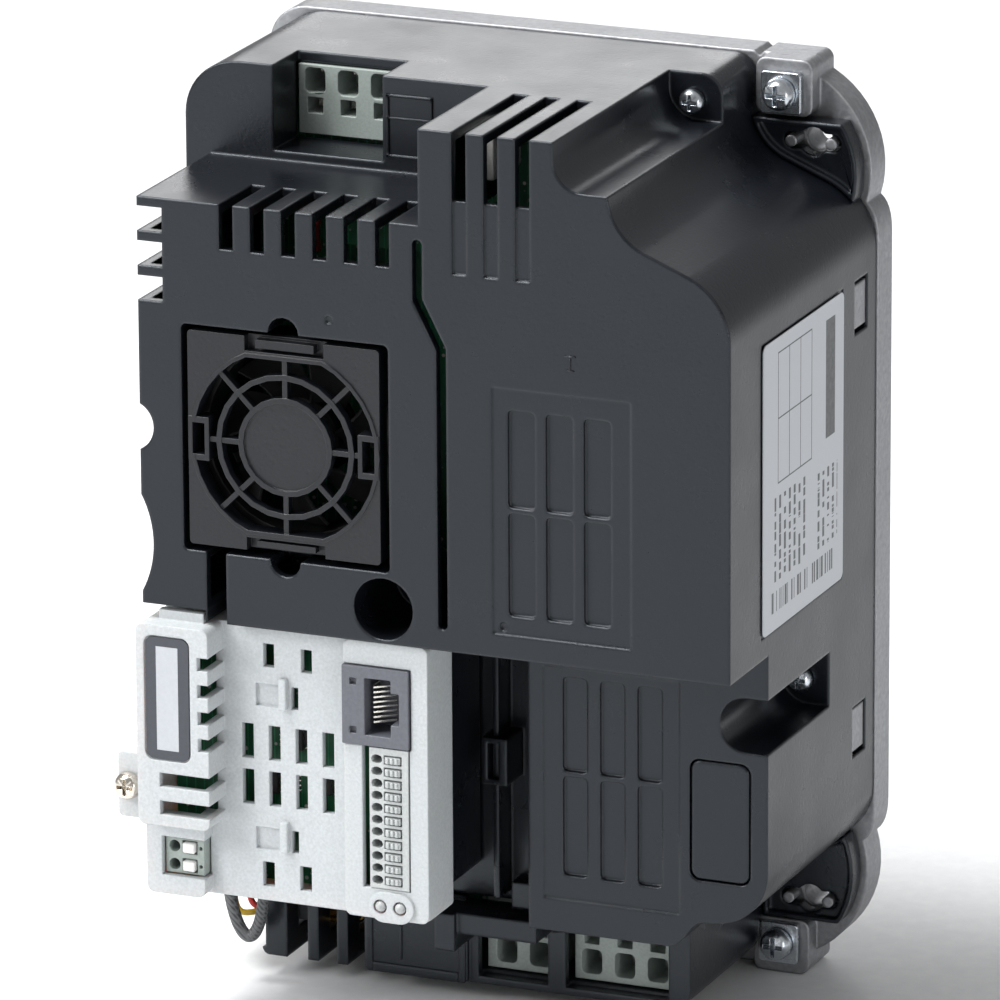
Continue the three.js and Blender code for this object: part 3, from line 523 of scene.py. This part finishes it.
def revolve(bm, x, z, profile, steps=40):
    """A round body about a front-to-back axis, from points of radius and depth."""
    points = [bm.verts.new(at(x + radius, depth, z)) for radius, depth in profile]
    lines = [bm.edges.new(pair) for pair in zip(points, points[1:])]
    bmesh.ops.spin(
        bm, geom=points + lines, cent=at(x, 0, z), axis=(0, 1, 0), angle=math.tau,
        steps=steps, use_merge=True,
    )
    bmesh.ops.remove_doubles(bm, verts=bm.verts, dist=MERGE)
    bmesh.ops.recalc_face_normals(bm, faces=bm.faces)


def ribbon(bm, points, across, thickness):
    """A thin strip that follows points, with its width along a vector."""
    half = Vector(across) / 2
    first = [bm.verts.new(points[0] - half), bm.verts.new(points[0] + half)]
    line = bm.edges.new(first)
    faces = []
    for here, there in zip(points, points[1:]):
        made = bmesh.ops.extrude_edge_only(bm, edges=[line])["geom"]
        fresh = [g for g in made if isinstance(g, bmesh.types.BMVert)]
        bmesh.ops.translate(bm, verts=fresh, vec=there - here)
        line = next(g for g in made if isinstance(g, bmesh.types.BMEdge)
                    and all(v in fresh for v in g.verts))
        faces += [g for g in made if isinstance(g, bmesh.types.BMFace)]
    bmesh.ops.recalc_face_normals(bm, faces=faces)
    bmesh.ops.solidify(bm, geom=faces, thickness=thickness)


def tube(name, points, radius, material, body, nodes=(), sides=4, round_trip=False):
    """A round wire along a smooth curve, made a mesh."""
    curve = bpy.data.curves.new(name, "CURVE")
    curve.dimensions = "3D"
    curve.bevel_depth = radius
    curve.bevel_resolution = sides
    curve.use_fill_caps = True
    line = curve.splines.new("NURBS")
    line.points.add(len(points) - 1)
    for spot, point in zip(line.points, points):
        spot.co = (*point, 1.0)
    line.order_u = 4
    line.resolution_u = 8
    line.use_endpoint_u = not round_trip
    line.use_cyclic_u = round_trip
    loose = bpy.data.objects.new(name + "_line", curve)
    bpy.context.scene.collection.objects.link(loose)
    shown = loose.evaluated_get(bpy.context.evaluated_depsgraph_get())
    bm = bmesh.new()
    bm.from_mesh(shown.to_mesh())
    shown.to_mesh_clear()
    bpy.data.objects.remove(loose)
    bpy.data.curves.remove(curve)
    bmesh.ops.remove_doubles(bm, verts=bm.verts, dist=0.005 * MM)
    bmesh.ops.recalc_face_normals(bm, faces=bm.faces)
    return keep(name, bm, material, body, nodes, sharp=60.0)


def cross_screw(node, material, x, z, seat, tip, head, shank, height):
    """A pan-head screw with a cross recess."""
    dome = seat + height
    flat = head * 0.74
    crown = dome - 0.1 * height
    bm = bmesh.new()
    revolve(bm, x, z, [
        (flat, crown), (head * 0.88, dome - 0.28 * height), (head * 0.98, dome - 0.6 * height),
        (head, seat + 0.12 * height), (head * 0.97, seat), (shank, seat),
        (shank, tip + shank * 0.6), (shank * 0.4, tip),
    ])
    rim = [line for line in bm.edges if line.is_boundary
           and all(abs(v.co.y + crown * MM) < 1e-7 for v in line.verts)]
    arm = head * 0.62
    slot = head * 0.13
    corners = [
        (slot, slot), (arm, slot), (arm, -slot), (slot, -slot), (slot, -arm), (-slot, -arm),
        (-slot, -slot), (-arm, -slot), (-arm, slot), (-slot, slot), (-slot, arm), (slot, arm),
    ]
    depth = dome - 0.02 * height
    ring = [bm.verts.new(at(x + dx, depth, z + dz)) for dx, dz in corners]
    cross = [bm.edges.new((ring[i - 1], ring[i])) for i in range(len(ring))]
    bmesh.ops.triangle_fill(bm, use_beauty=True, use_dissolve=False, edges=rim + cross)
    made = bmesh.ops.extrude_edge_only(bm, edges=cross)["geom"]
    fresh = [g for g in made if isinstance(g, bmesh.types.BMVert)]
    bmesh.ops.translate(bm, verts=fresh, vec=at(0, -0.55 * height, 0))
    middle = at(x, 0, z)
    for corner in fresh:
        corner.co.x = middle.x + (corner.co.x - middle.x) * 0.6
        corner.co.z = middle.z + (corner.co.z - middle.z) * 0.6
    floor = [g for g in made if isinstance(g, bmesh.types.BMEdge)
             and all(v in fresh for v in g.verts)]
    bmesh.ops.triangle_fill(bm, use_beauty=True, use_dissolve=False, edges=floor)
    tail = [line for line in bm.edges if line.is_boundary]
    bmesh.ops.holes_fill(bm, edges=tail, sides=0)
    bmesh.ops.recalc_face_normals(bm, faces=bm.faces)
    return keep(node + "_finished", bm, material, BODY_OF[node], [node])


class Build(bpy.types.Operator):
    """What the drive's build operators share."""

    bl_options = {"REGISTER", "UNDO"}

    def execute(self, context):
        self.make()
        return {"FINISHED"}


class DRIVE_OT_plate(Build):
    """Cast cold plate and the two black ear pads"""

    bl_idname = "drive.plate"
    bl_label = "Cold plate"

    def make(self):
        dress("cold_plate", "cast aluminium")
        for node in ("upper_ear_pad", "lower_ear_pad"):
            dress(node, "housing plastic", 0.35 * MM)


class DRIVE_OT_housing(Build):
    """Moulded housing, its access plug and its label"""

    bl_idname = "drive.housing"
    bl_label = "Housing"

    def make(self):
        dress("housing", "housing plastic")
        dress("access_plug", "housing plastic", 0.4 * MM)
        dress("rating_label", "label film", 0.05 * MM)
        bm = bmesh.new()
        for x0, x1, z0, z1 in (
            (-20.9, -20.3, 78.4, 91.2), (-11.6, -11.0, 78.4, 91.2), (-20.9, -11.0, 78.4, 79.0),
            (-20.9, -11.0, 90.6, 91.2), (-20.9, -11.0, 86.2, 86.6),
        ):
            bar(bm, x0, x1, 51.6, 52.2, z0, z1, 0.12)
        keep("terminal_marking_frame", bm, "housing plastic", "drive_body")
        bm = bmesh.new()
        for x0, x1, z0, z1 in (
            (31.2, 33.0, 49.6, 49.9), (32.0, 32.3, 49.9, 52.4), (31.0, 33.3, 52.4, 52.8),
        ):
            bar(bm, x0, x1, 86.5, 86.8, z0, z1, 0.08)
        keep("earth_marking", bm, "housing plastic", "drive_body")


class DRIVE_OT_base(Build):
    """Base frame with its ribs, marking block and bracket"""

    bl_idname = "drive.base"
    bl_label = "Base frame"

    def make(self):
        dress("base_frame", "housing plastic")
        bm = bmesh.new()
        for x0, x1, z0, z1 in (
            (-24.8, -6.3, -90.5, -88.7), (-24.8, -6.3, -74.5, -72.7), (-26.4, -24.9, -90.5, -72.7),
            (-6.2, -4.7, -90.5, -72.7), (-19.0, -18.5, -87.6, -80.0),
        ):
            bar(bm, x0, x1, 52.8, 53.4, z0, z1, 0.15)
        keep("base_marking_frame", bm, "housing plastic", "drive_body")


class DRIVE_OT_power_terminals(Build):
    """Mains, brake and motor terminal blocks with their metal clamps"""

    bl_idname = "drive.power_terminals"
    bl_label = "Power terminals"

    def make(self):
        rows = (
            ("mains_terminal_block", (-41.3, -34.2, -27.1), 40.0, 88.9, 83.9),
            ("brake_terminal_block", (2.0, 9.1), 47.6, -84.6, -79.3),
            ("motor_terminal_block", (20.3, 27.4, 34.5), 47.6, -84.6, -79.3),
        )
        for node, poles, face, mouth, clamp in rows:
            dress(node, "terminal plastic", 0.18 * MM)
            bm = bmesh.new()
            for x in poles:
                ribbon(bm, [at(x - 1.5, face - 6.5, mouth + 1.5), at(x, face - 7.5, mouth + 1.5),
                            at(x + 1.5, face - 6.5, mouth + 1.5)], (0, 0, 2.6 * MM), 0.3 * MM)
                bar(bm, x - 1.3, x + 1.3, face - 6.5, face - 4.2, clamp - 1.2, clamp + 1.2, 0.2)
            keep(node.replace("block", "clamps"), bm, "bright contact", "drive_body")


class DRIVE_OT_inside(Build):
    """Boards, capacitors and power module behind the vents"""

    bl_idname = "drive.inside"
    bl_label = "Inside parts"

    def make(self):
        dress("power_board", "circuit board")
        dress("power_module", "potting", 0.4 * MM)
        for number in range(1, 5):
            dress("bus_capacitor_%d" % number, "capacitor sleeve", 0.5 * MM)
        bm = bmesh.new()
        bar(bm, -30.0, -4.0, 58.0, 59.4, 62.0, 75.0, 0.1)
        keep("upper_board", bm, "circuit board", "drive_body")
        bm = bmesh.new()
        for x in (-12.0, -5.8):
            bar(bm, x - 1.2, x + 1.2, 59.4, 66.0, 68.0, 74.0, 0.3)
        keep("upper_board_parts", bm, "white component", "drive_body")
        bm = bmesh.new()
        bar(bm, 7.2, 11.2, 60.0, 74.0, 82.0, 91.0, 0.6)
        keep("varistor", bm, "white component", "drive_body")
        tube("red_wire", [at(-33, 58, 60), at(-30, 66, 66), at(-27.2, 72, 71), at(-26.6, 66, 72.2),
                          at(-24, 58, 70)], sizes().wire / 2, "red insulation", "drive_body")


class DRIVE_OT_choke(Build):
    """Line choke, its wound coil and the looped lead"""

    bl_idname = "drive.choke"
    bl_label = "Line choke"

    def make(self):
        dress("choke_core", "potting", 0.25 * MM)
        wires = []
        for turn in range(COIL_TURNS):
            depth = COIL_START + turn * COIL_PITCH
            loop = [at(x, depth, z) for x, z in (
                (-41.4, -84.2), (-36.2, -84.6), (-31.0, -84.2), (-30.5, -79.6),
                (-31.0, -75.2), (-36.2, -74.8), (-41.4, -75.2), (-41.9, -79.6))]
            wires.append(tube(
                "turn", loop, 0.62 * MM, "wound wire", "drive_body", sides=2, round_trip=True))
        bm = bmesh.new()
        for wire in wires:
            bm.from_mesh(wire.data)
            bpy.data.objects.remove(wire)
        keep("choke_winding_turns", bm, "wound wire", "drive_body", ["choke_winding"], 60.0)
        route = [
            (-55.2, 52.1, -69), (-55.2, 54, -69.2), (-55.2, 55.9, -70), (-55, 57, -73.4),
            (-54.1, 57, -79.2), (-52.7, 56.8, -84), (-50.4, 56.6, -86.6), (-48.3, 56.4, -83.4),
            (-47.5, 56.2, -78.6), (-46.9, 56, -73.4), (-46.8, 55.2, -69.8), (-46.8, 54, -69.1),
            (-46.8, 52.1, -69),
        ]
        points = [at(x, depth, z) for x, depth, z in route]
        tube("looped_lead", points, 1.25 * MM, "braided sleeve", "drive_body", ["choke_lead"], 5)
        for name, shift, material in (
            ("red_lead", 0.0, "red insulation"), ("yellow_lead", -2.2, "yellow insulation"),
        ):
            path = [at(x + shift, depth - shift, z + 0.4 * shift) for x, depth, z in (
                (-55.3, 44, -71), (-55.2, 46.5, -76), (-54.2, 48.5, -81), (-52.4, 48.3, -82.6),
                (-50.6, 46.6, -82.4), (-49.0, 44.5, -82.2))]
            tube(name, path, sizes().wire / 2, material, "drive_body")


class DRIVE_OT_fan(Build):
    """Pull-out fan: grille, square frame, bearing and coils"""

    bl_idname = "drive.fan"
    bl_label = "Fan cartridge"

    def make(self):
        dress("fan_grille", "fan plastic")
        dress("fan_frame", "inner plastic", 0.3 * MM)
        dress("fan_bearing", "brass", 0.15 * MM)
        dress("fan_stator", "wound wire", 0.2 * MM)


class DRIVE_OT_rotor(Build):
    """Fan hub with seven curved blades"""

    bl_idname = "drive.rotor"
    bl_label = "Fan rotor"

    def make(self):
        front = -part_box("fan_rotor")[0].y / MM
        bm = bmesh.new()
        revolve(bm, FAN_X, FAN_Z, [
            (0.0, front), (6.6, front), (7.9, front - 0.3), (8.4, front - 1.0), (8.5, front - 7.6),
            (7.2, front - 7.6), (7.2, front - 1.4), (0.0, front - 1.4),
        ], steps=48)
        for number in range(FAN_BLADES):
            grid = bmesh.ops.create_grid(bm, x_segments=8, y_segments=5, size=0.5)["verts"]
            for corner in grid:
                along, across = corner.co.x + 0.5, corner.co.y
                radius = 8.3 + 9.5 * along
                start = number * math.tau / FAN_BLADES
                sweep = start + 0.34 * along + across * (0.62 - 0.12 * along)
                depth = front - 4.1 + across * (6.2 - 1.2 * along) + 0.7 * (4 * across * across)
                x = FAN_X + radius * math.cos(sweep)
                corner.co = at(x, depth, FAN_Z + radius * math.sin(sweep))
            faces = list({face for corner in grid for face in corner.link_faces})
            bmesh.ops.recalc_face_normals(bm, faces=faces)
            bmesh.ops.solidify(bm, geom=faces, thickness=0.7 * MM)
        keep("fan_rotor_finished", bm, "inner plastic", "fan_rotor", ["fan_rotor"])
        dress("fan_shaft", "bright contact")


class DRIVE_OT_module(Build):
    """Plug-in control module: cover, tray and connector"""

    bl_idname = "drive.module"
    bl_label = "Control module"

    def make(self):
        dress("module_cover", "cover plastic")
        dress("module_tray", "housing plastic", 0.4 * MM)
        dress("module_connector", "socket plastic", 0.2 * MM)
        bm = bmesh.new()
        bar(bm, -56.9, -47.6, 89.8, 90.3, -38.1, -12.9, 0.0)
        corners = [line for line in bm.edges if abs(line.verts[0].co.y - line.verts[1].co.y) > 1e-5]
        bmesh.ops.bevel(bm, geom=corners, offset=1.6 * MM, segments=6, profile=0.5,
                        affect="EDGES", material=-1)
        keep("blank_name_plate", bm, "name plate", "control_module", edge=0.08 * MM)
        bm = bmesh.new()
        for z in (-27.2, -56.8):
            bar(bm, -31.2, -29.5, 82.0, 84.2, z, z + 6.4, 0.35)
        keep("cover_latches", bm, "cover plastic", "control_module")


class DRIVE_OT_module_board(Build):
    """Control board with its chips and solder pads"""

    bl_idname = "drive.module_board"
    bl_label = "Control board"

    def make(self):
        dress("module_board", "circuit board", 0.1 * MM)
        bm = bmesh.new()
        for x0, x1, z0, z1 in CHIPS:
            bar(bm, x0, x1, 76.2, 77.4, z0, z1, 0.15)
        keep("control_chips", bm, "chip epoxy", "control_module")
        bm = bmesh.new()
        for x0, x1, z0, z1 in CHIPS:
            count = max(2, int((z1 - z0) / PIN_PITCH))
            for i in range(count):
                z = z0 + PIN_PITCH / 2 + i * (z1 - z0 - PIN_PITCH) / (count - 1)
                for left, right in ((x0 - 0.8, x0 + 0.05), (x1 - 0.05, x1 + 0.8)):
                    bar(bm, left, right, BOARD_FACE, 76.5, z - 0.18, z + 0.18, 0.0)
        for x, z in PADS:
            bar(bm, x - 0.5, x + 0.5, BOARD_FACE, 76.8, z - 0.9, z + 0.9, 0.12)
        keep("control_pins", bm, "bright contact", "control_module")


class DRIVE_OT_network_socket(Build):
    """Eight-way network socket and its spring contacts"""

    bl_idname = "drive.network_socket"
    bl_label = "Network socket"

    def make(self):
        dress("network_socket", "socket plastic", 0.2 * MM)
        bm = bmesh.new()
        for i in range(CONTACTS):
            z = CONTACT_TOP - CONTACT_PITCH * i
            bends = ((-11.6, 78.4), (-11.5, 82.9), (-10.9, 83.6), (-7.1, 80.6))
            ribbon(bm, [at(x, depth, z) for x, depth in bends], (0, 0, 0.46 * MM), 0.16 * MM)
        keep(
            "network_contact_springs", bm, "bright contact", "control_module", ["network_contacts"]
        )


class DRIVE_OT_control_terminals(Build):
    """Row of spring terminals with ribbed levers"""

    bl_idname = "drive.control_terminals"
    bl_label = "Control terminals"

    def make(self):
        dress("control_terminal_block", "lever plastic")
        for number in range(1, 12):
            node = "control_lever_%02d" % number
            low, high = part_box(node)
            x0, x1, z0, z1 = low.x / MM, high.x / MM, low.z / MM, high.z / MM
            bm = bmesh.new()
            bar(bm, x0, x1, 82.3, 85.2, z0, z1, 0.1)
            for rib in range(3):
                x = x0 + 0.35 + rib * 0.95
                bar(bm, x, x + 0.55, 85.1, 85.6, z0 + 0.08, z1 - 0.08, 0.1)
            keep(node + "_ribbed", bm, "lever plastic", BODY_OF[node], [node])


class DRIVE_OT_relay_terminals(Build):
    """Two-way relay terminal with white levers"""

    bl_idname = "drive.relay_terminals"
    bl_label = "Relay terminals"

    def make(self):
        dress("relay_terminal_block", "terminal plastic", 0.12 * MM)
        for number in (1, 2):
            dress("relay_lever_%d" % number, "white lever plastic", 0.3 * MM, segments=3)


class DRIVE_OT_status_lights(Build):
    """Two clear status domes"""

    bl_idname = "drive.status_lights"
    bl_label = "Status lights"

    def make(self):
        for number, x in ((1, -9.2), (2, -5.0)):
            node = "status_light_%d" % number
            low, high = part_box(node)
            bm = bmesh.new()
            tip, back = -low.y / MM, -high.y / MM
            dome = [(1.15 * math.cos(a), tip - 1.15 + 1.15 * math.sin(a))
                    for a in (math.pi / 2 * i / 8 for i in range(8, -1, -1))]
            revolve(bm, x, -64.7, [*dome, (1.15, back), (0.0, back)], steps=32)
            keep(node + "_dome", bm, "clear lens", "control_module", [node])


class DRIVE_OT_fasteners(Build):
    """Cross-head screws and square washers"""

    bl_idname = "drive.fasteners"
    bl_label = "Fasteners"

    def make(self):
        for side, up in (("upper", 1), ("lower", -1)):
            dress(side + "_earth_washer", "zinc plate", 0.2 * MM)
            cross_screw(
                side + "_earth_screw", "zinc plate", 46.8, up * 88.4, 13.7, 4, 3.3, 1.7, 3.0)
        cross_screw("upper_cover_screw", "zinc plate", 33.7, 88.9, 27.0, 14.7, 2.6, 1.3, 2.2)
        cross_screw("lower_cover_screw", "zinc plate", 59.2, -24.8, 33.3, 21, 2.6, 1.3, 2.2)
        cross_screw("module_screw", "nickel plate", -62, -45.2, 87.9, 68, 2.8, 1.3, 2.4)


class DRIVE_OT_stage(Build):
    """Pale floor, soft lights and the camera"""

    bl_idname = "drive.stage"
    bl_label = "Stage"

    def make(self):
        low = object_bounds()[0]
        bm = bmesh.new()
        bmesh.ops.create_grid(bm, x_segments=1, y_segments=1, size=sizes().floor / 2)
        bmesh.ops.translate(bm, verts=bm.verts, vec=(0, 0, low[2] - 0.2 * MM))
        mesh = bpy.data.meshes.new("floor")
        bm.to_mesh(mesh)
        bm.free()
        mesh.materials.append(finish("studio floor"))
        floor = bpy.data.objects.new("floor", mesh)
        bpy.context.scene.collection.objects.link(floor)
        floor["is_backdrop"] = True
        world = bpy.data.worlds.new("studio")
        bpy.context.scene.world = world
        world.use_nodes = True
        sky = world.node_tree.nodes["Background"]
        sky.inputs["Color"].default_value = (1.0, 1.0, 1.0, 1.0)
        sky.inputs["Strength"].default_value = SKY_STRENGTH
        for name, spot, size, power in LAMPS:
            lamp = bpy.data.lights.new(name, "AREA")
            lamp.size = size
            lamp.energy = power
            stand = bpy.data.objects.new(name, lamp)
            stand.location = spot
            stand.rotation_euler = (AIM - Vector(spot)).to_track_quat("-Z", "Y").to_euler()
            bpy.context.scene.collection.objects.link(stand)
        lens = bpy.data.cameras.new("camera")
        lens.lens = LENS
        lens.sensor_width = SENSOR
        lens.shift_x = SHIFT_X
        lens.shift_y = SHIFT_Y
        lens.clip_start = 0.05
        camera = bpy.data.objects.new("camera", lens)
        back = CAMERA_RIGHT.cross(CAMERA_UP)
        pose = Matrix((CAMERA_RIGHT, CAMERA_UP, back)).transposed().to_4x4()
        pose.translation = CAMERA_PLACE
        camera.matrix_world = pose
        bpy.context.scene.collection.objects.link(camera)
        bpy.context.scene.camera = camera
        bpy.context.scene.view_settings.view_transform = "Standard"


STEPS = (
    DRIVE_OT_plate, DRIVE_OT_housing, DRIVE_OT_base, DRIVE_OT_power_terminals, DRIVE_OT_inside,
    DRIVE_OT_choke, DRIVE_OT_fan, DRIVE_OT_rotor, DRIVE_OT_module, DRIVE_OT_module_board,
    DRIVE_OT_network_socket, DRIVE_OT_control_terminals, DRIVE_OT_relay_terminals,
    DRIVE_OT_status_lights, DRIVE_OT_fasteners, DRIVE_OT_stage,
)


class DRIVE_PT_panel(bpy.types.Panel):
    """Lists the drive's build steps and settings"""

    bl_idname = "DRIVE_PT_panel"
    bl_label = "Variable Frequency Drive"
    bl_space_type = "VIEW_3D"
    bl_region_type = "UI"
    bl_category = "Drive"

    def draw(self, context):
        for step in STEPS:
            self.layout.operator(step.bl_idname)
        for group in (context.scene.drive_sizes, context.scene.drive_colours):
            for key in group.__annotations__:
                self.layout.prop(group, key)


CLASSES = (DriveSizes, DriveColours, *STEPS, DRIVE_PT_panel)


def register():
    for made in CLASSES:
        bpy.utils.register_class(made)
    bpy.types.Scene.drive_sizes = PointerProperty(type=DriveSizes)
    bpy.types.Scene.drive_colours = PointerProperty(type=DriveColours)


def unregister():
    del bpy.types.Scene.drive_colours
    del bpy.types.Scene.drive_sizes
    for made in reversed(CLASSES):
        bpy.utils.unregister_class(made)


def main():
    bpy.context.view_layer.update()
    register()
    for step in STEPS:
        group, name = step.bl_idname.split(".")
        getattr(getattr(bpy.ops, group), name)()


if __name__ == "__main__":
    main()
